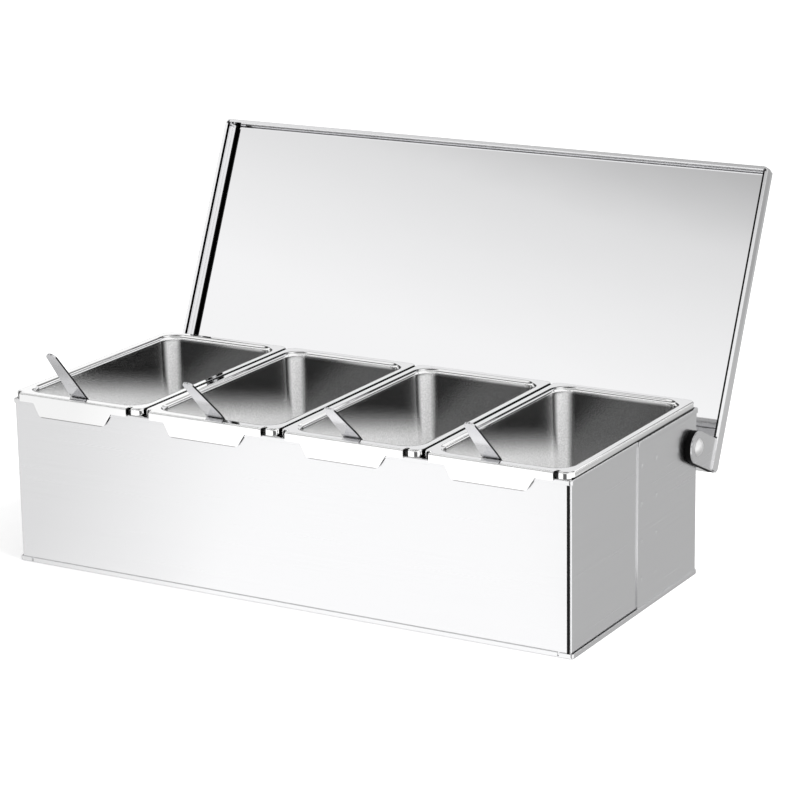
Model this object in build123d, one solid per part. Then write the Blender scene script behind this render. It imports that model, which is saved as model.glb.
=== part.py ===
from build123d import *
import math
import os

# A bar garnish tray: a steel ice box with a hinged lid, four lift-out pans and a spoon in each.
# Sizes are in millimetres and angles in degrees. X runs along the front, Y to the rear, Z up.
# The origin is the centre of the face that the box stands on. The lid is drawn standing open.

# Ice box, measured over its hems
box_length = 400.0
box_depth = 175.0
box_height = 109.0
box_sheet = 0.8
box_bend = 1.2
hem_height = 3.0
hem_round = 0.6
cut_over = 5.0

# Floor of the box, with its lip folded up outside the walls
lip_height = 3.0
lip_slit_place = 10.5
lip_slit_width = 1.2
lip_round = 0.5

# Seam at each end, where the rear sheet's wings lap over the front sheet's
seam_place = 1.5
seam_gap = 0.3
lap_length = 32.0
weld_radius = 1.8
weld_dent = 0.25
weld_first_column = 4.5
weld_column_pitch = 20.5
weld_columns = 2
weld_top_drop = 16.0
weld_row_pitch = 23.9
weld_rows = 4

# Lift-out pans, which hang by their rims on the box's top edge
pan_count = 4
pan_end_inset = 1.3
pan_gap = 0.6
pan_front_inset = 0.5
pan_seat_gap = 0.1
pan_sheet = 0.8
pan_skirt = 4.4
pan_rim = 7.0
pan_rim_bend = 1.2
pan_corner = 6.0
pan_mouth_corner = 11.0
pan_mouth_fold = 3.0
pan_depth = 65.0
pan_draft = 1.5
pan_floor_round = 13.0

# Front tab of a pan's rim, cut free of the corners, and the flap that hangs from it
tab_clear = 0.5
tab_height = 5.5
tab_left = 5.7
tab_right = 11.0
notch_width = 2.7
notch_depth = 3.0
flap_left = 16.5
flap_right = 22.9
flap_drop = 9.0
flap_left_run = 4.5
flap_right_run = 6.0
flap_round = 4.0

# Hinge line, from the rear face of the box and from its top edge
pivot_inset = 9.5
pivot_drop = 23.0
lid_opening = 114.6

# Lid, measured when it is shut: how far it stands over the front and above the pans' rims
lid_overhang = 21.7
lid_headroom = 7.5
lid_sheet = 1.0
lid_skirt = 10.0
lid_bend = 2.0
lid_corner = 3.0
lid_hem = 3.0
lid_stop_gap = 0.3
rear_flange_inset = 0.5
ear_hem_gap = 1.0

# Hinge ears, spacers and rivets
ear_radius = 10.3
ear_sheet = 1.0
ear_top_gap = 0.2
spacer_play = 0.1
spacer_thickness = 3.2
spacer_boss_radius = 9.5
shank_radius = 2.5
pin_play = 0.05
head_radius = 5.75
head_height = 2.6
washer_radius = 6.0
washer_sheet = 1.2
peen_radius = 4.2
peen_height = 1.6
peen_round = 0.8

# Spoons: one length and bowl, each standing a little differently over its pan's rim
spoon_length = 143.5
spoon_sheet = 1.2
spoon_rim_clear = 0.3
spoon_floor_clear = 0.5
bowl_axis_long = 26.0
bowl_axis_short = 17.0
bowl_depth = 8.0
bowl_turn = 20.0
handle_bend_place = 6.0
handle_rim_width = 12.5
handle_tip_width = 7.5
handle_neck_width = 8.0
spoon_offsets = (-2.85, 0.55, -0.95, -5.85)
spoon_reaches = (46.0, 43.3, 38.3, 40.8)
spoon_leans = (50.5, 43.0, 41.6, 45.0)
halvings = 40

# Places that several pieces share
half_length = box_length / 2
half_depth = box_depth / 2
rear_wing_x = half_length - box_sheet
front_wing_x = rear_wing_x - box_sheet
wall_y = half_depth - box_sheet
pan_width = (box_length - 2 * pan_end_inset - (pan_count - 1) * pan_gap) / pan_count
pan_pitch = pan_width + pan_gap
pan_length = box_depth - 2 * pan_front_inset
pan_top = box_height + pan_seat_gap + pan_skirt
pan_floor = pan_top - pan_depth
mouth_width = pan_width - 2 * pan_rim
mouth_length = pan_length - 2 * pan_rim
pivot_y = half_depth - pivot_inset
pivot_height = box_height - pivot_drop
lid_rear_y = half_depth + lid_stop_gap + lid_sheet
lid_front_y = -half_depth - lid_overhang
lid_length = lid_rear_y - lid_front_y
lid_top = pan_top + lid_headroom + lid_sheet
lid_rise = lid_top - pivot_height
lid_skirt_edge = lid_top - lid_skirt
ear_inner_x = half_length + spacer_play + spacer_thickness
ear_outer_x = ear_inner_x + ear_sheet
half_lid = ear_outer_x + lid_sheet
flange_x = half_length - rear_flange_inset


def block(x0, x1, y0, y1, z0, z1):
    """A box between two corners."""
    return Pos(x0, y0, z0) * Box(x1 - x0, y1 - y0, z1 - z0, align=(Align.MIN,) * 3)


def bar(radius, x0, x1, y, z):
    """A round bar along X."""
    return Pos((x0 + x1) / 2, y, z) * Rot(0, 90, 0) * Cylinder(radius, x1 - x0)


def ring(half_x, half_y, sheet, bend, z0, z1, top_round=0.0):
    """Sheet standing round a rectangle with bent corners, from z0 to z1."""
    outer = extrude(RectangleRounded(2 * half_x, 2 * half_y, bend), amount=z1 - z0)
    if top_round:
        outer = fillet(outer.edges().group_by(Axis.Z)[-1], top_round)
    inner_bend = bend - sheet
    inner = extrude(
        RectangleRounded(2 * (half_x - sheet), 2 * (half_y - sheet), inner_bend), amount=z1 - z0
    )
    return Pos(0, 0, z0) * (outer - inner)


def both_ends(shape):
    """The same shape at the right and the left end."""
    return shape + mirror(shape, about=Plane.YZ)


# The box

def make_front_shell():
    lap_end = seam_place + lap_length
    walls = ring(front_wing_x, wall_y, box_sheet, box_bend, box_sheet, box_height)
    walls &= block(-half_length, half_length, -half_depth, lap_end, 0, box_height)
    hem = ring(
        front_wing_x + box_sheet, half_depth, box_sheet, box_bend + box_sheet,
        box_height - hem_height, box_height, hem_round,
    )
    hem &= block(-half_length, half_length, -half_depth, seam_place - seam_gap, 0, box_height)
    return walls + hem


def weld_dents():
    dents = []
    for column in range(weld_columns):
        y = seam_place + weld_first_column + column * weld_column_pitch
        for row in range(weld_rows):
            z = box_height - weld_top_drop - row * weld_row_pitch
            dents.append(bar(weld_radius, rear_wing_x - weld_dent, half_length, y, z))
    return Part() + dents


def make_rear_shell():
    walls = ring(rear_wing_x, wall_y, box_sheet, box_bend, box_sheet, box_height)
    hem = ring(
        half_length, half_depth, box_sheet, box_bend + box_sheet,
        box_height - hem_height, box_height, hem_round,
    )
    shell = walls + hem
    shell &= block(-half_length, half_length, seam_place, half_depth, 0, box_height)
    rivet_hole = bar(
        shank_radius + pin_play, front_wing_x - cut_over, half_length + cut_over, pivot_y, pivot_height
    )
    return shell - both_ends(rivet_hole + weld_dents())


def make_bottom_tray():
    lip_bend = box_bend + box_sheet
    tray = extrude(RectangleRounded(box_length, box_depth, lip_bend), amount=lip_height)
    tray = fillet(tray.edges().group_by(Axis.Z)[0], lip_round)
    tray -= Pos(0, 0, box_sheet) * extrude(
        RectangleRounded(2 * rear_wing_x, 2 * wall_y, box_bend), amount=lip_height
    )
    slit_x = half_length - lip_slit_place
    slit = block(
        slit_x, slit_x + lip_slit_width, -half_depth - cut_over, -wall_y, box_sheet, lip_height + cut_over
    )
    return tray - both_ends(slit)


# The pans, all alike, drawn about the middle of one

def make_rim():
    """The flat rim with the skirt folded down all round it."""
    outer = extrude(RectangleRounded(pan_width, pan_length, pan_corner), amount=pan_skirt)
    outer = fillet(outer.edges().group_by(Axis.Z)[-1], pan_rim_bend)
    inner = extrude(
        RectangleRounded(pan_width - 2 * pan_sheet, pan_length - 2 * pan_sheet, pan_corner - pan_sheet),
        amount=pan_skirt - pan_sheet,
    )
    return Pos(0, 0, pan_top - pan_skirt) * (outer - inner)


def make_tab():
    """The straight front tab, which stands in front of the box and ends in the flap."""
    left = tab_left - pan_width / 2
    right = pan_width / 2 - tab_right
    flap_start = flap_left - pan_width / 2
    flap_end = pan_width / 2 - flap_right
    tab_foot = pan_top - tab_height
    flap_foot = tab_foot - flap_drop
    outline = make_face(Polyline(
        (left, pan_top), (right, pan_top), (right, tab_foot), (flap_end, tab_foot),
        (flap_end - flap_right_run, flap_foot), (flap_start + flap_left_run, flap_foot),
        (flap_start, tab_foot), (left, tab_foot), close=True,
    ))
    low_corners = outline.vertices().group_by(Axis.Y)[0]
    outline = fillet(low_corners, flap_round)
    back_y = -half_depth - tab_clear
    sheet = Pos(0, back_y, 0) * extrude(Plane.XZ * outline, amount=pan_sheet)
    shelf = block(left, right, back_y - pan_sheet, pan_rim - pan_length / 2, pan_top - pan_sheet, pan_top)
    tab = sheet + shelf
    front_edges = tab.edges().filter_by(Axis.X).group_by(Axis.Y)[0].sort_by(Axis.Z)
    return fillet(front_edges[-1], pan_rim_bend)


def edges_near_mouth(shape, height, outside):
    """The level edges of a pan at a height, no further out than outside the mouth's own line."""
    slack = pan_sheet / 4
    return [
        edge for edge in shape.edges()
        if abs(edge.center().Z - height) < slack
        and abs(edge.center().X) <= mouth_width / 2 + outside + slack
        and abs(edge.center().Y) <= mouth_length / 2 + outside + slack
    ]


def make_pan():
    mouth = RectangleRounded(mouth_width, mouth_length, pan_mouth_corner)
    body = RectangleRounded(
        mouth_width + 2 * pan_sheet, mouth_length + 2 * pan_sheet, pan_mouth_corner + pan_sheet
    )
    hollow = extrude(mouth, amount=pan_depth, dir=(0, 0, -1), taper=pan_draft)
    hollow = fillet(hollow.edges().group_by(Axis.Z)[0], pan_floor_round)
    tub = extrude(body, amount=pan_depth + pan_sheet, dir=(0, 0, -1), taper=pan_draft)
    tub = fillet(tub.edges().group_by(Axis.Z)[0], pan_floor_round + pan_sheet)

    notch_left = tab_left - pan_width / 2 - notch_width
    notch_right = pan_width / 2 - tab_right
    front_y = -pan_length / 2
    old_skirt = block(
        notch_left, notch_right + notch_width, front_y - cut_over, front_y + pan_sheet,
        0, pan_top - pan_sheet,
    )
    rim = make_rim() - old_skirt + make_tab()
    for x in (notch_left, notch_right):
        rim -= block(
            x, x + notch_width, -half_depth - cut_over, front_y + notch_depth, 0, pan_top + cut_over
        )

    pan = rim + Pos(0, 0, pan_top) * tub
    pan = fillet(edges_near_mouth(pan, pan_top - pan_sheet, pan_sheet), pan_mouth_fold - pan_sheet)
    pan -= Pos(0, 0, pan_top) * hollow
    return fillet(edges_near_mouth(pan, pan_top, 0), pan_mouth_fold)


# The lid and its hinge, drawn shut and then turned open

def opened(shape):
    """A shape of the shut lid, turned about the hinge line to where it stands open."""
    return Pos(0, pivot_y, pivot_height) * Rot(-lid_opening, 0, 0) * Pos(0, -pivot_y, -pivot_height) * shape


def stop_edge():
    """How far above the pivot the rear flange ends, so that it meets the rear wall when open."""
    turn = math.radians(lid_opening)
    flange_out = lid_rear_y - pivot_y
    wall_out = wall_y + lid_stop_gap - pivot_y
    return (wall_out - flange_out * math.cos(turn)) / math.sin(turn)


def make_lid_panel():
    middle_y = (lid_front_y + lid_rear_y) / 2
    shape = extrude(RectangleRounded(2 * half_lid, lid_length, lid_corner), amount=lid_skirt)
    shape = fillet(shape.edges().group_by(Axis.Z)[-1], lid_bend)
    shape = Pos(0, middle_y, lid_skirt_edge) * shape
    inner_x = half_lid - lid_sheet
    hollow = extrude(
        RectangleRounded(2 * inner_x, lid_length - 2 * lid_sheet, lid_corner - lid_sheet),
        amount=lid_skirt - lid_sheet,
    )
    shape -= Pos(0, middle_y, lid_skirt_edge) * hollow

    corner_gap = block(
        flange_x, inner_x, lid_rear_y - lid_corner, lid_rear_y + cut_over,
        lid_skirt_edge - cut_over, lid_top - lid_sheet,
    )
    flange_gap = block(
        -flange_x, flange_x, lid_rear_y - lid_corner, lid_rear_y + cut_over,
        lid_skirt_edge - cut_over, lid_top - lid_bend,
    )
    shape -= both_ends(corner_gap) + flange_gap

    hem_end_y = pivot_y - ear_radius - ear_hem_gap
    hem_top = lid_skirt_edge + lid_hem
    side_hem = block(
        inner_x - lid_sheet, inner_x, lid_front_y + lid_corner, hem_end_y, lid_skirt_edge, hem_top
    )
    front_hem = block(
        lid_corner - half_lid, half_lid - lid_corner,
        lid_front_y + lid_sheet, lid_front_y + 2 * lid_sheet, lid_skirt_edge, hem_top,
    )
    return opened(shape + both_ends(side_hem) + front_hem)


def make_rear_flange():
    """The deep flange under the lid's rear edge, which stops the lid shut and open."""
    return opened(block(
        -flange_x, flange_x, lid_rear_y - lid_sheet, lid_rear_y,
        pivot_height + stop_edge(), lid_top - lid_bend,
    ))


def ear_outline():
    """The ear seen from the end: round about the pivot, straight up into the lid."""
    rise = lid_rise - lid_sheet - ear_top_gap
    strip = Pos(0, rise / 2) * Rectangle(2 * ear_radius, rise)
    return Circle(ear_radius) + strip - Circle(shank_radius + pin_play)


def ear_plate(x0, x1):
    """The ear's outline as a plate between two places along X."""
    return Pos(x0, pivot_y, pivot_height) * extrude(Plane.YZ * ear_outline(), amount=x1 - x0)


def make_ear():
    return opened(ear_plate(ear_inner_x, ear_outer_x))


def make_spacer():
    plate = ear_plate(half_length + spacer_play, ear_inner_x)
    start = rear_wing_x + spacer_play
    boss = bar(spacer_boss_radius, start, half_length + spacer_play, pivot_y, pivot_height)
    boss -= bar(shank_radius + pin_play, start - cut_over, half_length + cut_over, pivot_y, pivot_height)
    return opened(plate + boss)


def make_rivet():
    head_face = ear_outer_x + pin_play
    washer_face = front_wing_x - washer_sheet
    dome_radius = (head_radius ** 2 + head_height ** 2) / (2 * head_height)
    dome = Rot(0, 90, 0) * Sphere(dome_radius)
    dome = Pos(head_face + head_height - dome_radius, pivot_y, pivot_height) * dome
    dome &= block(
        head_face, head_face + dome_radius, pivot_y - dome_radius, pivot_y + dome_radius,
        pivot_height - dome_radius, pivot_height + dome_radius,
    )
    shank = bar(shank_radius, washer_face, head_face, pivot_y, pivot_height)
    peen = bar(peen_radius, washer_face - peen_height, washer_face, pivot_y, pivot_height)
    peen = fillet(peen.edges().group_by(Axis.X)[0], peen_round)
    return dome + shank + peen


def make_washer():
    washer = bar(washer_radius, front_wing_x - washer_sheet, front_wing_x, pivot_y, pivot_height)
    bore = bar(
        shank_radius + pin_play, front_wing_x - washer_sheet - cut_over, front_wing_x + cut_over,
        pivot_y, pivot_height,
    )
    return washer - bore


# The spoons

def along(start, angle, distance):
    """The place a distance up and forward of start, at an angle above level; Y and Z only."""
    turn = math.radians(angle)
    return (start[0] - distance * math.cos(turn), start[1] + distance * math.sin(turn))


def above(start, angle, distance):
    """The place a distance out of the upper face of a handle that leans at an angle."""
    turn = math.radians(angle)
    return (start[0] + distance * math.sin(turn), start[1] + distance * math.cos(turn))


def leaning_plane(origin, angle):
    """A plane on the face of a strip that leans at an angle, with its X axis up the strip."""
    start = (0, 0)
    return Plane(
        origin=(0, *origin), x_dir=(0, *along(start, angle, 1)), z_dir=(0, *above(start, angle, 1))
    )


def bowl_span():
    """Length of the bowl's rim: the oval cut where it is as deep as the bowl."""
    cut = bowl_axis_short - bowl_depth
    return 2 * bowl_axis_long * math.sqrt(1 - (cut / bowl_axis_short) ** 2)


def rim_contact(lower):
    """Where the handle's under face passes the rounded inner edge of the pan's front rim."""
    fold_centre = (pan_rim - pan_length / 2 - pan_mouth_fold, pan_top - pan_mouth_fold)
    return above(fold_centre, lower, pan_mouth_fold + spoon_rim_clear)


def belly_height(reach, lower):
    """Height of the lowest point of the bowl, for a handle that leans so far inside the pan."""
    bowl_lean = lower - bowl_turn
    heel = along(rim_contact(lower), lower, -(spoon_length - reach - bowl_span()))
    middle = along(heel, bowl_lean, -bowl_span() / 2)
    centre = above(middle, bowl_lean, bowl_axis_short - bowl_depth + spoon_sheet)
    turn = math.radians(bowl_lean)
    return centre[1] - math.hypot(bowl_axis_long * math.sin(turn), bowl_axis_short * math.cos(turn))


def lower_lean(reach):
    """Lean of the handle inside the pan, found by halving, at which the bowl lies on the floor."""
    flat, steep = bowl_turn, 90.0
    for step in range(halvings):
        lean = (flat + steep) / 2
        if belly_height(reach, lean) > pan_floor + spoon_floor_clear:
            flat = lean
        else:
            steep = lean
    return lean


def make_bowl():
    """An oval bowl, cut from a hollow turned oval; its rim is at zero height and X is its length."""
    cut = bowl_axis_short - bowl_depth
    long_axis, short_axis = bowl_axis_long, bowl_axis_short
    shells = []
    for inset in (0.0, spoon_sheet):
        oval = Ellipse(long_axis - inset, short_axis - inset)
        oval &= Pos(0, short_axis / 2) * Rectangle(2 * long_axis, short_axis)
        shells.append(revolve(oval, Axis.X, 360))
    bowl = shells[0] - shells[1]
    bowl &= block(-long_axis, long_axis, -short_axis, short_axis, -short_axis, -cut)
    return Pos(0, 0, cut) * bowl


def make_spoon(number):
    reach = spoon_reaches[number]
    upper = spoon_leans[number]
    lower = lower_lean(reach)
    bowl_lean = lower - bowl_turn
    contact = rim_contact(lower)
    bend = along(contact, lower, handle_bend_place)
    tip = along(bend, upper, reach - handle_bend_place)
    heel = along(contact, lower, -(spoon_length - reach - bowl_span()))
    root = along(heel, bowl_lean, -spoon_sheet)

    side = make_face(Polyline(
        root, heel, bend, tip, above(tip, upper, spoon_sheet), above(bend, upper, spoon_sheet),
        above(heel, lower, spoon_sheet), above(root, bowl_lean, spoon_sheet), close=True,
    ))
    strip = extrude(Plane.YZ * side, amount=handle_rim_width / 2, both=True)

    plan_plane = leaning_plane(contact, lower)
    tip_place = plan_plane.to_local_coords(Vector(0, *tip)).X - handle_tip_width / 2
    low_place = plan_plane.to_local_coords(Vector(0, *root)).X - spoon_sheet
    neck_place = plan_plane.to_local_coords(Vector(0, *heel)).X
    half_tip = handle_tip_width / 2
    half_rim = handle_rim_width / 2
    half_neck = handle_neck_width / 2
    plan = make_face(Polyline(
        (low_place, half_neck), (neck_place, half_neck), (0, half_rim), (tip_place, half_tip),
        (tip_place, -half_tip), (0, -half_rim), (neck_place, -half_neck), (low_place, -half_neck),
        close=True,
    ))
    plan += Pos(tip_place, 0) * Circle(half_tip)
    handle = strip & extrude(plan_plane * plan, amount=spoon_length, both=True)

    middle = along(heel, bowl_lean, -bowl_span() / 2)
    bowl = leaning_plane(middle, bowl_lean).location * Pos(0, 0, spoon_sheet) * make_bowl()
    place = pan_centre(number) + spoon_offsets[number]
    return Pos(place, 0, 0) * (handle + bowl)


def pan_centre(number):
    """Place along X of the middle of a pan, counted from the left."""
    return (number - (pan_count - 1) / 2) * pan_pitch


def save(name, shape):
    """Write one named piece."""
    export_step(shape, os.path.join("parts", name + ".step"))


os.makedirs("parts", exist_ok=True)
save("front_shell", make_front_shell())
save("rear_shell", make_rear_shell())
save("bottom_tray", make_bottom_tray())
save("lid_panel", make_lid_panel())
save("lid_rear_flange", make_rear_flange())

for piece, right in (
    ("hinge_ear", make_ear()),
    ("hinge_spacer", make_spacer()),
    ("hinge_rivet", make_rivet()),
    ("rivet_washer", make_washer()),
):
    save("right_" + piece, right)
    save("left_" + piece, mirror(right, about=Plane.YZ))

one_pan = make_pan()
for number in range(pan_count):
    save(f"pan_{number + 1}", Pos(pan_centre(number), 0, 0) * one_pan)
    save(f"spoon_{number + 1}", make_spoon(number))
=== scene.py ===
import bpy
import math
from mathutils import Matrix, Vector

# A bar garnish tray: a steel ice box with a hinged lid, four lift-out pans and a spoon in each.
# Places are in metres in the part's own frame: X runs along the front, Y to the rear, Z up.
# Sizes of grain and speckle are in millimetres.

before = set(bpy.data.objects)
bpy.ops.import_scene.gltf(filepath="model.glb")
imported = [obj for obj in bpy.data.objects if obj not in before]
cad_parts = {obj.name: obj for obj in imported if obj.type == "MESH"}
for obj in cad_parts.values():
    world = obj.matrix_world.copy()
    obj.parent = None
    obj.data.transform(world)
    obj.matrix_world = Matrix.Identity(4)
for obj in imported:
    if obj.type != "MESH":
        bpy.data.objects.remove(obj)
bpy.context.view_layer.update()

# The view: a long lens, looking down a little on the front and the right end
photo_px = 800
focal_px = 2952.0
sensor_mm = 36.0
view_azimuth = math.radians(30.05)
view_elevation = math.radians(15.60)
view_roll = math.radians(-0.94)
view_distance = 1.834
view_target = Vector((0.0400, -0.0075, 0.1175))
view_reach = 50.0

# Places on the box
half_length = 0.2000
half_depth = 0.0875
box_front = -0.0867
box_bend_start = 0.1972

# Places on the pans: the top and the front of their rims, their pitch along the box, the width
# of half a gap with one rim's sheet, the outer pans' bends, and the lower edge of the flaps
pan_count = 4
pan_top = 0.1135
pan_front = -0.0870
pan_rim = 0.0070
pan_pitch = 0.0995
half_gap_and_sheet = 0.0011
pan_bend_start = 0.1975
flap_edge = 0.0990

# The open lid: its half width over the skirts, where its end bends start, the way that its
# inner face looks, and the place of that face along that way
half_lid = 0.2053
lid_bend_start = 0.2033
lid_lean = math.radians(24.6)
lid_normal = (0.0, -math.cos(lid_lean), math.sin(lid_lean))
lid_face = -0.0701

# Shared by the finishes: the radius on which bent and cut edges catch the light, how many rays
# find it, and the height of the fine relief
edge_radius = 0.0004
edge_rays = 4
relief_height = 0.0002


def make_camera():
    """A camera that looks back at its target from the azimuth, elevation and distance above."""
    back = Vector((
        math.sin(view_azimuth) * math.cos(view_elevation),
        -math.cos(view_azimuth) * math.cos(view_elevation),
        math.sin(view_elevation),
    ))
    level_right = Vector((0, 0, 1)).cross(back).normalized()
    level_up = back.cross(level_right)
    right = level_right * math.cos(view_roll) + level_up * math.sin(view_roll)
    up = level_up * math.cos(view_roll) - level_right * math.sin(view_roll)
    data = bpy.data.cameras.new("camera")
    data.sensor_width = sensor_mm
    data.lens = sensor_mm * focal_px / photo_px
    data.clip_end = view_reach
    camera = bpy.data.objects.new("camera", data)
    bpy.context.scene.collection.objects.link(camera)
    turn = Matrix((right, up, back)).transposed()
    camera.matrix_world = Matrix.Translation(view_target + back * view_distance) @ turn.to_4x4()
    bpy.context.scene.camera = camera


def linear(colour):
    """A hex sRGB colour as the linear values that a shader reads."""
    values = [int(colour[i:i + 2], 16) / 255 for i in (1, 3, 5)]
    return [v / 12.92 if v <= 0.04045 else ((v + 0.055) / 1.055) ** 2.4 for v in values] + [1.0]


def per_metre(size_mm):
    """The scale of a pattern whose patches are about this many millimetres long."""
    return 1000 / size_mm


def add(tree, kind, links=None, **settings):
    """Adds a node: settings are its own, and links gives an input a value or another output."""
    node = tree.nodes.new(kind)
    for name, value in settings.items():
        setattr(node, name, value)
    for name, value in (links or {}).items():
        if isinstance(value, bpy.types.NodeSocket):
            tree.links.new(value, node.inputs[name])
        else:
            node.inputs[name].default_value = value
    return node


def fill_ramp(ramp, stops):
    """Sets a colour ramp's stops, from left to right, each a place from 0 to 1 and a linear grey."""
    elements = ramp.color_ramp.elements
    # A new stop starts anywhere between the two that a ramp comes with
    anywhere = 0.5
    while len(elements) < len(stops):
        elements.new(anywhere)
    for element, (position, grey) in zip(elements, stops):
        element.position = position
        element.color = (grey, grey, grey, 1.0)


def new_material(name):
    """A material with no nodes yet, and its node tree."""
    material = bpy.data.materials.new(name)
    material.use_nodes = True
    material.node_tree.nodes.clear()
    return material, material.node_tree


# Finishes. In a COMPARE node, input 1 is the middle of a band and input 2 is half its width.

def steel_sheet(name, colour, roughness, grain_mm, relief, contrast):
    """Stainless sheet that was rubbed one way, with a grain of so many millimetres along X, Y and Z.

    It gives the eye a soft sheen that is drawn out along the grain and barely varies in tone.
    A narrow dark line beside the box's front right bend is a painted reflection of the bend.
    """
    material, tree = new_material(name)
    grain_low = 0.3
    grain_high = 0.7
    uneven = 0.15
    painted_line_middle = box_bend_start - 0.0007
    painted_line_half_width = 0.00095
    face_tolerance = 0.0003

    place = add(tree, "ShaderNodeTexCoord")
    stretch = add(tree, "ShaderNodeMapping", {
        "Vector": place.outputs["Object"], "Scale": [per_metre(size) for size in grain_mm],
    })
    grain = add(tree, "ShaderNodeTexNoise", {
        "Vector": stretch.outputs["Vector"], "Scale": 1.0, "Detail": 4.0, "Roughness": 0.6,
    })
    bright = linear(colour)
    dark = [value * (1 - contrast) for value in bright[:3]] + [1.0]
    shade = add(tree, "ShaderNodeMapRange", {
        "Value": grain.outputs["Fac"], "From Min": grain_low, "From Max": grain_high,
    })
    brushed = add(tree, "ShaderNodeMixRGB", {
        "Fac": shade.outputs["Result"], "Color1": dark, "Color2": bright,
    })
    axes = add(tree, "ShaderNodeSeparateXYZ", {"Vector": place.outputs["Object"]})
    # Painted reflection: a narrow dark line on the front face beside the right bend
    painted_dark_beside_bend = add(tree, "ShaderNodeMath", {
        0: axes.outputs["X"], 1: painted_line_middle, 2: painted_line_half_width,
    }, operation="COMPARE")
    on_front = add(tree, "ShaderNodeMath", {
        0: axes.outputs["Y"], 1: box_front, 2: face_tolerance,
    }, operation="COMPARE")
    painted_dark_line = add(tree, "ShaderNodeMath", {
        0: painted_dark_beside_bend.outputs[0], 1: on_front.outputs[0],
    }, operation="MULTIPLY")
    with_painted_line = add(tree, "ShaderNodeMixRGB", {
        "Fac": painted_dark_line.outputs[0], "Color1": brushed.outputs["Color"], "Color2": linear("#202020"),
    })
    rough = add(tree, "ShaderNodeMapRange", {
        "Value": grain.outputs["Fac"], "From Min": grain_low, "From Max": grain_high,
        "To Min": roughness * (1 - uneven), "To Max": roughness * (1 + uneven),
    })
    edge = add(tree, "ShaderNodeBevel", {"Radius": edge_radius}, samples=edge_rays)
    bump = add(tree, "ShaderNodeBump", {
        "Height": grain.outputs["Fac"], "Strength": relief, "Distance": relief_height,
        "Normal": edge.outputs["Normal"],
    })
    shader = add(tree, "ShaderNodeBsdfPrincipled", {
        "Base Color": with_painted_line.outputs["Color"], "Metallic": 1.0,
        "Roughness": rough.outputs["Result"], "Normal": bump.outputs["Normal"],
    })
    add(tree, "ShaderNodeOutputMaterial", {"Surface": shader.outputs["BSDF"]})
    return material


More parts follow.
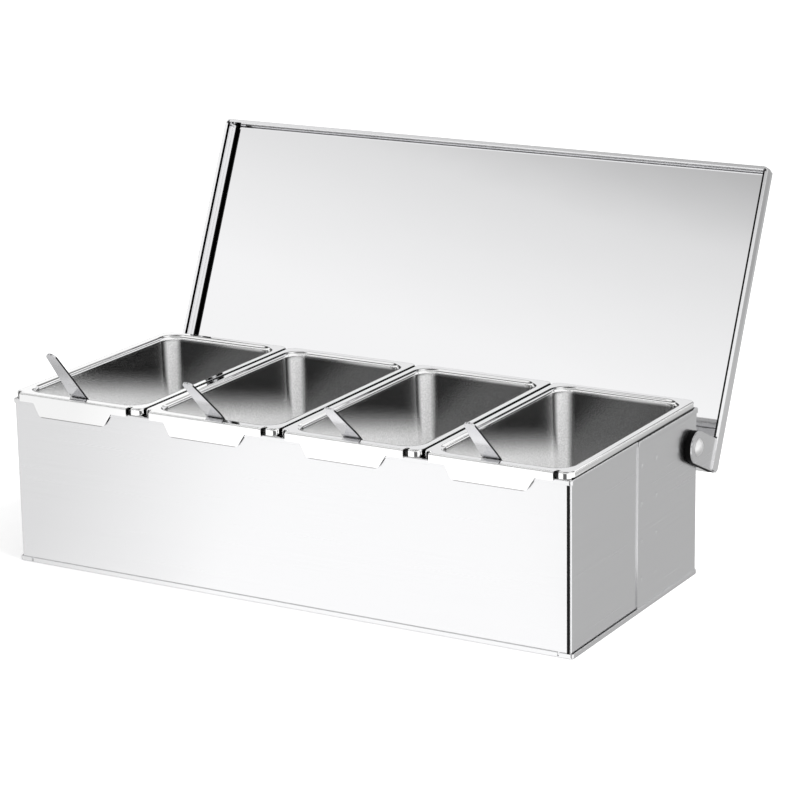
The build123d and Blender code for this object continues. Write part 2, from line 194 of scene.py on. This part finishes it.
def lid_sheet():
    """Stainless sheet that was folded and then polished on a wheel to a mirror.

    It gives the eye a clean picture of the room with a slow ripple, and a skirt whose edge leans out
    a little. A painted dark reflection, with a rougher finish, lies in a strip beside each end bend
    and inside the end hems.
    """
    material, tree = new_material("mirror_polished_stainless")
    # The skirt's lean: where it starts and ends, its height, and what the ripple and the end
    # bends add to it, as shares of that height
    roll_start = lid_face + 0.0035
    roll_end = lid_face + 0.0090
    lean_height = 0.0006
    ripple_mm = 40.0
    ripple_share = 0.03
    brow_share = -0.6
    # The parts with a painted dark reflection, which are also rougher: a strip of the panel beside
    # each end bend, and the fold inside each end hem
    panel_middle = lid_face + 0.0003
    panel_half_width = 0.0009
    strip_middle = lid_bend_start - 0.0031
    strip_half_width = 0.0019
    hem_middle = lid_face + 0.0067
    hem_half_width = 0.0021
    fold_middle = half_lid - 0.0016
    fold_half_width = 0.0010
    mirror_roughness = 0.03
    dull_roughness = 0.12

    place = add(tree, "ShaderNodeTexCoord")
    depth = add(tree, "ShaderNodeVectorMath", {
        0: place.outputs["Object"], 1: lid_normal,
    }, operation="DOT_PRODUCT")
    axes = add(tree, "ShaderNodeSeparateXYZ", {"Vector": place.outputs["Object"]})
    out = add(tree, "ShaderNodeMath", {0: axes.outputs["X"]}, operation="ABSOLUTE")

    rolled = add(tree, "ShaderNodeMapRange", {
        "Value": depth.outputs["Value"], "From Min": roll_start, "From Max": roll_end,
    })
    brow = add(tree, "ShaderNodeMapRange", {
        "Value": out.outputs[0], "From Min": lid_bend_start, "From Max": half_lid,
        "To Min": 0.0, "To Max": brow_share,
    })
    fold = add(tree, "ShaderNodeMath", {
        0: rolled.outputs["Result"], 1: brow.outputs["Result"],
    }, operation="ADD")
    ripple = add(tree, "ShaderNodeTexNoise", {
        "Vector": place.outputs["Object"], "Scale": per_metre(ripple_mm), "Detail": 1.0,
    })
    height = add(tree, "ShaderNodeMath", {
        0: ripple.outputs["Fac"], 1: ripple_share, 2: fold.outputs[0],
    }, operation="MULTIPLY_ADD")
    edge = add(tree, "ShaderNodeBevel", {"Radius": edge_radius}, samples=edge_rays)
    bump = add(tree, "ShaderNodeBump", {
        "Height": height.outputs[0], "Strength": 1.0, "Distance": lean_height,
        "Normal": edge.outputs["Normal"],
    })

    # Painted reflection: these strips are coloured dark where dark surroundings would be mirrored
    on_panel = add(tree, "ShaderNodeMath", {
        0: depth.outputs["Value"], 1: panel_middle, 2: panel_half_width,
    }, operation="COMPARE")
    strip = add(tree, "ShaderNodeMath", {
        0: out.outputs[0], 1: strip_middle, 2: strip_half_width,
    }, operation="COMPARE")
    painted_dark_beside_bend = add(tree, "ShaderNodeMath", {
        0: on_panel.outputs[0], 1: strip.outputs[0],
    }, operation="MULTIPLY")
    on_hem = add(tree, "ShaderNodeMath", {
        0: depth.outputs["Value"], 1: hem_middle, 2: hem_half_width,
    }, operation="COMPARE")
    fold_line = add(tree, "ShaderNodeMath", {
        0: out.outputs[0], 1: fold_middle, 2: fold_half_width,
    }, operation="COMPARE")
    in_hem = add(tree, "ShaderNodeMath", {
        0: on_hem.outputs[0], 1: fold_line.outputs[0],
    }, operation="MULTIPLY")
    painted_dark = add(tree, "ShaderNodeMath", {
        0: painted_dark_beside_bend.outputs[0], 1: in_hem.outputs[0],
    }, operation="MAXIMUM")
    colour = add(tree, "ShaderNodeMixRGB", {
        "Fac": painted_dark.outputs[0], "Color1": linear("#F4F4F5"), "Color2": linear("#242424"),
    })
    rough = add(tree, "ShaderNodeMapRange", {
        "Value": painted_dark.outputs[0], "To Min": mirror_roughness, "To Max": dull_roughness,
    })
    shader = add(tree, "ShaderNodeBsdfPrincipled", {
        "Base Color": colour.outputs["Color"], "Metallic": 1.0,
        "Roughness": rough.outputs["Result"], "Normal": bump.outputs["Normal"],
    })
    add(tree, "ShaderNodeOutputMaterial", {"Surface": shader.outputs["BSDF"]})
    return material


def pan_sheet():
    """Stainless sheet drawn in a press, left satin inside, with a rim that was polished after.

    It gives the eye a bright rim over walls that are finely speckled near the mouth and matt towards
    the floor. Painted shade gives the walls a darker colour near the mouth, darkest on the rear
    wall, painted light makes them paler towards the floor, and painted highlights make the corners
    pale. Painted shade darkens the edges that face each other across the gaps between the rims.
    """
    material, tree = new_material("satin_drawn_stainless")
    rim_middle = pan_front + pan_rim / 2
    satin_full = pan_top - 0.0050
    satin_start = pan_top - 0.0020
    rim_roughness = 0.04
    satin_roughness = 0.20
    # The real speckle is finer: this is the finest that shows at the photograph's size
    speckle_mm = 1.11
    relief = 0.45
    mottle_low = 0.35
    mottle_high = 0.65
    mottle_dark = 0.84
    mottle_light = 1.08
    # Heights of the matt part halfway along the pan, and how far it rises towards the front
    matt_full = pan_top - 0.0290
    matt_start = pan_top - 0.0040
    front_rise = 0.25
    rear_matt = 0.05
    matt_metal = 0.22
    # Which way a face looks where the rear wall ends and where a corner starts
    rear_facing = -0.99
    rear_turned = -0.80
    corner_start = -0.15
    corner_full = -0.42
    flap_edge_zone = flap_edge + 0.0006
    end_edge_top = pan_top - 0.0035

    place = add(tree, "ShaderNodeTexCoord")
    axes = add(tree, "ShaderNodeSeparateXYZ", {"Vector": place.outputs["Object"]})
    facing = add(tree, "ShaderNodeSeparateXYZ", {"Vector": place.outputs["Normal"]})
    speckle = add(tree, "ShaderNodeTexNoise", {
        "Vector": place.outputs["Object"], "Scale": per_metre(speckle_mm),
        "Detail": 2.0, "Roughness": 0.7,
    })

    # Satin is all that lies under the rim's bend and behind the middle of its front
    below = add(tree, "ShaderNodeMapRange", {
        "Value": axes.outputs["Z"], "From Min": satin_full, "From Max": satin_start,
        "To Min": 1.0, "To Max": 0.0,
    }, interpolation_type="SMOOTHSTEP")
    behind = add(tree, "ShaderNodeMath", {
        0: axes.outputs["Y"], 1: rim_middle,
    }, operation="GREATER_THAN")
    satin = add(tree, "ShaderNodeMath", {
        0: below.outputs["Result"], 1: behind.outputs[0],
    }, operation="MULTIPLY")
    speckle_relief = add(tree, "ShaderNodeMath", {
        0: satin.outputs[0], 1: relief,
    }, operation="MULTIPLY")
    edge = add(tree, "ShaderNodeBevel", {"Radius": edge_radius}, samples=edge_rays)
    bump = add(tree, "ShaderNodeBump", {
        "Height": speckle.outputs["Fac"], "Strength": speckle_relief.outputs[0],
        "Distance": relief_height, "Normal": edge.outputs["Normal"],
    })
    rough = add(tree, "ShaderNodeMapRange", {
        "Value": satin.outputs[0], "To Min": rim_roughness, "To Max": satin_roughness,
    })

    # The matt part grows towards the floor, reaches higher at the front and nearly leaves out the
    # rear wall. The left rear and right front corners are matt all the way up. The matt part is also
    # coloured pale: painted light on the lower walls and a painted highlight in the corners.
    level = add(tree, "ShaderNodeMath", {
        0: axes.outputs["Y"], 1: front_rise, 2: axes.outputs["Z"],
    }, operation="MULTIPLY_ADD")
    lower_matt_and_painted_light = add(tree, "ShaderNodeMapRange", {
        "Value": level.outputs[0], "From Min": matt_full, "From Max": matt_start,
        "To Min": 1.0, "To Max": 0.0,
    }, interpolation_type="SMOOTHSTEP")
    off_rear = add(tree, "ShaderNodeMapRange", {
        "Value": facing.outputs["Y"], "From Min": rear_facing, "From Max": rear_turned,
        "To Min": rear_matt, "To Max": 1.0,
    })
    walls = add(tree, "ShaderNodeMath", {
        0: lower_matt_and_painted_light.outputs["Result"], 1: off_rear.outputs["Result"],
    }, operation="MULTIPLY")
    slant = add(tree, "ShaderNodeMath", {
        0: facing.outputs["X"], 1: facing.outputs["Y"],
    }, operation="MULTIPLY")
    corner_matt_and_painted_highlight = add(tree, "ShaderNodeMapRange", {
        "Value": slant.outputs[0], "From Min": corner_start, "From Max": corner_full,
    })
    matt_and_painted_light = add(tree, "ShaderNodeMath", {
        0: walls.outputs[0], 1: corner_matt_and_painted_highlight.outputs["Result"],
    }, operation="MAXIMUM")
    inside = add(tree, "ShaderNodeMath", {
        0: matt_and_painted_light.outputs[0], 1: satin.outputs[0],
    }, operation="MULTIPLY")
    metal = add(tree, "ShaderNodeMapRange", {
        "Value": inside.outputs[0], "To Min": 1.0, "To Max": matt_metal,
    })

    # Tones: painted shade that darkens the rear wall, painted light that makes the matt parts pale,
    # a mottle of the speckle, and a bright rim
    painted_dark = add(tree, "ShaderNodeMixRGB", {
        "Fac": off_rear.outputs["Result"], "Color1": linear("#666666"), "Color2": linear("#A4A4A4"),
    })
    painted_light_and_shade = add(tree, "ShaderNodeMixRGB", {
        "Fac": matt_and_painted_light.outputs[0], "Color1": painted_dark.outputs["Color"], "Color2": linear("#F4F4F4"),
    })
    mottle = add(tree, "ShaderNodeMapRange", {
        "Value": speckle.outputs["Fac"], "From Min": mottle_low, "From Max": mottle_high,
        "To Min": mottle_dark, "To Max": mottle_light,
    })
    painted_light_and_grain = add(tree, "ShaderNodeMixRGB", {
        "Fac": 1.0, "Color1": painted_light_and_shade.outputs["Color"], "Color2": mottle.outputs["Result"],
    }, blend_type="MULTIPLY")
    colour = add(tree, "ShaderNodeMixRGB", {
        "Fac": satin.outputs[0], "Color1": linear("#FCFCFC"), "Color2": painted_light_and_grain.outputs["Color"],
    })

    # Painted shade: dark edges in the gaps between the rims, and under the rim at the tray's ends
    from_gap = add(tree, "ShaderNodeMath", {
        0: axes.outputs["X"], 1: pan_pitch / 2,
    }, operation="PINGPONG")
    narrow = add(tree, "ShaderNodeMath", {
        0: from_gap.outputs[0], 1: half_gap_and_sheet,
    }, operation="LESS_THAN")
    out = add(tree, "ShaderNodeMath", {0: axes.outputs["X"]}, operation="ABSOLUTE")
    between = add(tree, "ShaderNodeMath", {
        0: out.outputs[0], 1: pan_pitch * (pan_count - 1) / 2,
    }, operation="LESS_THAN")
    gaps = add(tree, "ShaderNodeMath", {
        0: narrow.outputs[0], 1: between.outputs[0],
    }, operation="MULTIPLY")
    at_end = add(tree, "ShaderNodeMath", {
        0: out.outputs[0], 1: pan_bend_start,
    }, operation="GREATER_THAN")
    under = add(tree, "ShaderNodeMath", {
        0: axes.outputs["Z"], 1: end_edge_top,
    }, operation="LESS_THAN")
    end_edge = add(tree, "ShaderNodeMath", {
        0: at_end.outputs[0], 1: under.outputs[0],
    }, operation="MULTIPLY")
    shaded = add(tree, "ShaderNodeMath", {
        0: gaps.outputs[0], 1: end_edge.outputs[0],
    }, operation="MAXIMUM")
    with_painted_edge_shade = add(tree, "ShaderNodeMixRGB", {
        "Fac": shaded.outputs[0], "Color1": colour.outputs["Color"], "Color2": linear("#1E1E1E"),
    })

    # Painted shade: a grey line along the flaps' lower edge stands for the shade where they stand
    # just off the box
    lowest = add(tree, "ShaderNodeMath", {
        0: axes.outputs["Z"], 1: flap_edge_zone,
    }, operation="LESS_THAN")
    ahead = add(tree, "ShaderNodeMath", {
        0: axes.outputs["Y"], 1: rim_middle,
    }, operation="LESS_THAN")
    painted_shade_edge = add(tree, "ShaderNodeMath", {
        0: lowest.outputs[0], 1: ahead.outputs[0],
    }, operation="MULTIPLY")
    with_flap_shade = add(tree, "ShaderNodeMixRGB", {
        "Fac": painted_shade_edge.outputs[0], "Color1": with_painted_edge_shade.outputs["Color"], "Color2": linear("#A8A8A8"),
    })
    shader = add(tree, "ShaderNodeBsdfPrincipled", {
        "Base Color": with_flap_shade.outputs["Color"], "Metallic": metal.outputs["Result"],
        "Roughness": rough.outputs["Result"], "Normal": bump.outputs["Normal"],
    })
    add(tree, "ShaderNodeOutputMaterial", {"Surface": shader.outputs["BSDF"]})
    return material


def spoon_sheet():
    """Stainless strip that was stamped out, pressed and tumbled.

    It gives the eye soft pale faces with a slight haze, and sheared edges that are dull, with
    painted shade that makes them dark.
    """
    material, tree = new_material("pressed_stainless")
    edge_start = 0.90
    edge_full = 0.98
    face_roughness = 0.2
    edge_roughness = 0.5
    haze_mm = 3.33
    haze_relief = 0.04

    place = add(tree, "ShaderNodeTexCoord")
    facing = add(tree, "ShaderNodeSeparateXYZ", {"Vector": place.outputs["Normal"]})
    sideways = add(tree, "ShaderNodeMath", {0: facing.outputs["X"]}, operation="ABSOLUTE")
    # Painted shade: the edges, which face along X, are coloured dark; they are also rougher
    painted_shade_edge = add(tree, "ShaderNodeMapRange", {
        "Value": sideways.outputs[0], "From Min": edge_start, "From Max": edge_full,
    })
    colour = add(tree, "ShaderNodeMixRGB", {
        "Fac": painted_shade_edge.outputs["Result"], "Color1": linear("#DCDCDE"), "Color2": linear("#3C3C3E"),
    })
    rough = add(tree, "ShaderNodeMapRange", {
        "Value": painted_shade_edge.outputs["Result"], "To Min": face_roughness, "To Max": edge_roughness,
    })
    haze = add(tree, "ShaderNodeTexNoise", {
        "Vector": place.outputs["Object"], "Scale": per_metre(haze_mm), "Detail": 3.0,
    })
    bump = add(tree, "ShaderNodeBump", {
        "Height": haze.outputs["Fac"], "Strength": haze_relief, "Distance": relief_height,
    })
    shader = add(tree, "ShaderNodeBsdfPrincipled", {
        "Base Color": colour.outputs["Color"], "Metallic": 1.0,
        "Roughness": rough.outputs["Result"], "Normal": bump.outputs["Normal"],
    })
    add(tree, "ShaderNodeOutputMaterial", {"Surface": shader.outputs["BSDF"]})
    return material


def moulded_nylon():
    """Black nylon, moulded. It gives the eye a flat black with hardly any shine and a faint skin."""
    material, tree = new_material("moulded_nylon")
    # The real skin is finer than the render can show
    skin_mm = 1.11
    skin_relief = 0.1
    skin_height = 0.0001

    place = add(tree, "ShaderNodeTexCoord")
    skin = add(tree, "ShaderNodeTexNoise", {
        "Vector": place.outputs["Object"], "Scale": per_metre(skin_mm), "Detail": 2.0,
    })
    bump = add(tree, "ShaderNodeBump", {
        "Height": skin.outputs["Fac"], "Strength": skin_relief, "Distance": skin_height,
    })
    shader = add(tree, "ShaderNodeBsdfPrincipled", {
        "Base Color": linear("#030303"), "Roughness": 0.6, "Specular IOR Level": 0.1,
        "Normal": bump.outputs["Normal"],
    })
    add(tree, "ShaderNodeOutputMaterial", {"Surface": shader.outputs["BSDF"]})
    return material


# Surroundings. The camera sees them white, and metal mirrors them with the dark bands of a room.

def make_world():
    """A white room as metal mirrors it: two dark bands round the walls and a dark ceiling.

    The bands stand a little higher to the right, and the right wall is light from top to bottom.
    """
    world = bpy.data.worlds.new("room")
    bpy.context.scene.world = world
    world.use_nodes = True
    tree = world.node_tree
    tree.nodes.clear()
    band_tilt = -0.11
    right_wall_start = 0.52
    right_wall_full = 0.58
    right_wall_light = 0.9
    soft_light = 0.8
    white = linear("#FFFFFF")

    place = add(tree, "ShaderNodeTexCoord")
    axes = add(tree, "ShaderNodeSeparateXYZ", {"Vector": place.outputs["Generated"]})
    height = add(tree, "ShaderNodeMath", {
        0: axes.outputs["X"], 1: band_tilt, 2: axes.outputs["Z"],
    }, operation="MULTIPLY_ADD")
    walls = add(tree, "ShaderNodeValToRGB", {"Fac": height.outputs[0]})
    # Greys from the horizon, at 0, to straight up, at 1
    fill_ramp(walls, (
        (0.0, 1.0), (0.14, 1.0), (0.17, 0.10), (0.27, 0.10), (0.30, 1.0), (0.53, 1.0),
        (0.555, 0.90), (0.575, 0.80), (0.592, 0.58), (0.62, 0.30), (0.64, 0.06), (0.78, 0.05),
        (0.81, 0.90), (0.93, 0.90), (0.97, 0.04), (1.0, 0.02),
    ))
    right_wall = add(tree, "ShaderNodeMapRange", {
        "Value": axes.outputs["X"], "From Min": right_wall_start, "From Max": right_wall_full,
        "To Min": 0.0, "To Max": right_wall_light,
    })
    room = add(tree, "ShaderNodeMixRGB", {
        "Fac": right_wall.outputs["Result"], "Color1": walls.outputs["Color"], "Color2": white,
    }, blend_type="LIGHTEN")
    ray = add(tree, "ShaderNodeLightPath")
    mirrored = add(tree, "ShaderNodeBackground", {"Color": room.outputs["Color"], "Strength": 1.0})
    soft = add(tree, "ShaderNodeBackground", {"Color": white, "Strength": soft_light})
    backdrop = add(tree, "ShaderNodeBackground", {"Color": white, "Strength": 1.0})
    indirect = add(tree, "ShaderNodeMixShader", {
        0: ray.outputs["Is Glossy Ray"], 1: soft.outputs[0], 2: mirrored.outputs[0],
    })
    seen = add(tree, "ShaderNodeMixShader", {
        0: ray.outputs["Is Camera Ray"], 1: indirect.outputs[0], 2: backdrop.outputs[0],
    })
    add(tree, "ShaderNodeOutputWorld", {"Surface": seen.outputs[0]})


def make_floor():
    """A white table with a soft shadow. Metal mirrors cards on it that fan out from a front corner.

    The fan's middle is under the box's front right corner, and the table is a little darker
    beyond a slanting line to the left of the box.
    """
    table_width = 8.0
    table_top = -0.0002
    dim_line_turn = math.radians(30)
    dim_full = -0.40
    dim_start = -0.25
    dim_tone = 0.74
    table_glow = 0.35
    mirrored_light = 1.25
    white = linear("#FFFFFF")

    bpy.ops.object.select_all(action="DESELECT")
    bpy.ops.mesh.primitive_plane_add(size=table_width, location=(0, 0, table_top))
    floor = bpy.context.object
    floor.name = "floor"
    bpy.ops.object.transform_apply(location=True)

    material, tree = new_material("white_table")
    place = add(tree, "ShaderNodeTexCoord")
    from_corner = add(tree, "ShaderNodeMapping", {
        "Vector": place.outputs["Object"], "Location": (-half_length, half_depth, 0.0),
    })
    turn = add(tree, "ShaderNodeTexGradient", {
        "Vector": from_corner.outputs["Vector"],
    }, gradient_type="RADIAL")
    cards = add(tree, "ShaderNodeValToRGB", {"Fac": turn.outputs["Fac"]})
    # Greys once round the corner, from the left, at 0, by way of the front, and back to the left
    fill_ramp(cards, (
        (0.0, 1.0), (0.20, 1.0), (0.22, 0.10), (0.31, 0.10), (0.34, 1.0), (0.58, 1.0),
        (0.63, 0.43), (1.0, 0.43),
    ))
    axes = add(tree, "ShaderNodeSeparateXYZ", {"Vector": from_corner.outputs["Vector"]})
    start = add(tree, "ShaderNodeMath", {
        0: axes.outputs["Y"], 1: -math.tan(dim_line_turn), 2: axes.outputs["X"],
    }, operation="MULTIPLY_ADD")
    along = add(tree, "ShaderNodeMapRange", {
        "Value": start.outputs[0], "From Min": dim_full, "From Max": dim_start,
        "To Min": dim_tone, "To Max": 1.0,
    })
    tone = add(tree, "ShaderNodeMixRGB", {
        "Fac": 1.0, "Color1": cards.outputs["Color"], "Color2": along.outputs["Result"],
    }, blend_type="MULTIPLY")
    paint = add(tree, "ShaderNodeBsdfDiffuse", {"Color": linear("#F2F2F2")})
    glow = add(tree, "ShaderNodeEmission", {"Color": white, "Strength": table_glow})
    bright = add(tree, "ShaderNodeAddShader", {0: paint.outputs[0], 1: glow.outputs[0]})
    mirrored = add(tree, "ShaderNodeEmission", {
        "Color": tone.outputs["Color"], "Strength": mirrored_light,
    })
    ray = add(tree, "ShaderNodeLightPath")
    indirect = add(tree, "ShaderNodeMixShader", {
        0: ray.outputs["Is Glossy Ray"], 1: paint.outputs[0], 2: mirrored.outputs[0],
    })
    seen = add(tree, "ShaderNodeMixShader", {
        0: ray.outputs["Is Camera Ray"], 1: indirect.outputs[0], 2: bright.outputs[0],
    })
    add(tree, "ShaderNodeOutputMaterial", {"Surface": seen.outputs[0]})
    floor.data.materials.append(material)


def make_lamp():
    """A soft square lamp, up and to the right, that metal doesn't mirror as a square."""
    place = Vector((1.5, 0.0, 1.5))
    aim = Vector((0.0, 0.0, 0.1))
    width = 1.2
    watts = 34.0
    data = bpy.data.lights.new("key", "AREA")
    data.shape = "SQUARE"
    data.size = width
    data.energy = watts
    lamp = bpy.data.objects.new("key", data)
    lamp.location = place
    lamp.rotation_euler = (aim - place).to_track_quat("-Z", "Y").to_euler()
    lamp.visible_glossy = False
    lamp.visible_camera = False
    bpy.context.scene.collection.objects.link(lamp)


def dress(names, material):
    """Gives all slots of these pieces one finish."""
    for name in names:
        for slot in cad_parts[name].material_slots:
            slot.material = material


# Brushed sheet, with a level grain round the walls. The real grain is finer than 0.9 mm, which is
# the finest that shows at the photograph's size.
box_steel = steel_sheet(
    "brushed_stainless", colour="#E8E8E9", roughness=0.24,
    grain_mm=(160.0, 160.0, 0.9), relief=0.03, contrast=0.03,
)
# Turned and polished rivets, with a grain round their heads
bright_steel = steel_sheet(
    "polished_stainless", colour="#F6F6F6", roughness=0.42,
    grain_mm=(0.8, 12.0, 12.0), relief=0.02, contrast=0.03,
)

dress(("front_shell", "rear_shell", "bottom_tray", "left_hinge_ear", "right_hinge_ear"), box_steel)
dress(("lid_panel", "lid_rear_flange"), lid_sheet())
dress(
    ("left_hinge_rivet", "right_hinge_rivet", "left_rivet_washer", "right_rivet_washer"),
    bright_steel,
)
dress([f"spoon_{number + 1}" for number in range(pan_count)], spoon_sheet())
dress([f"pan_{number + 1}" for number in range(pan_count)], pan_sheet())
dress(("left_hinge_spacer", "right_hinge_spacer"), moulded_nylon())

make_camera()
make_world()
make_floor()
make_lamp()
bpy.context.scene.view_settings.view_transform = "Standard"
